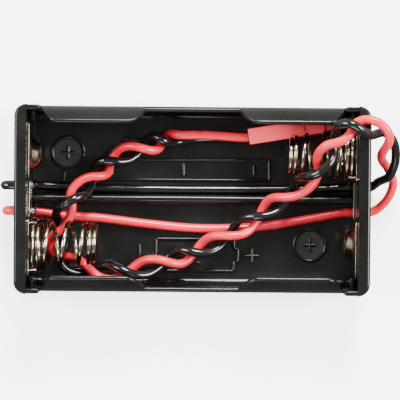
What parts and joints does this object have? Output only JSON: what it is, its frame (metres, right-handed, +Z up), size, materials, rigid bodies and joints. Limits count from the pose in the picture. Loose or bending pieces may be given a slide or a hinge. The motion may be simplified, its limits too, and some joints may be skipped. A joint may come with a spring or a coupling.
{
  "type": "cylindrical cell holder",
  "caption": "Open side-by-side holder for cylindrical cells with snap lips, coiled spring contacts, twisted leads and a small in-line plug.",
  "frame": {"origin": "centre of the flat underside of the moulded tray", "axes": "+X along the cells towards the end that the free leads leave, +Y across the cells, +Z up out of the open side"},
  "size_m": [0.0663, 0.031, 0.0188],
  "materials": {
    "black_plastic": "moulded black plastic, half gloss",
    "nickel_sheet": "nickel plated spring steel sheet",
    "spring_wire": "nickel plated spring wire",
    "red_insulation": "soft red insulation, satin",
    "black_insulation": "soft black insulation, satin",
    "solder": "solder, satin",
    "red_plastic": "moulded pale red plastic",
    "tinned_contact": "tin plated brass"
  },
  "bodies": {
    "root": {"holder_body": "black_plastic", "positive_contact": "nickel_sheet", "negative_contact": "nickel_sheet", "negative_spring": "spring_wire", "link_contact": "nickel_sheet", "link_spring": "spring_wire", "red_inner_lead": "red_insulation", "black_inner_lead": "black_insulation", "red_solder_joint": "solder", "black_solder_joint": "solder", "red_lead": "red_insulation", "black_lead": "black_insulation", "plug_housing": "red_plastic", "crimp_terminals": "tinned_contact"}
  },
  "joints": []
}
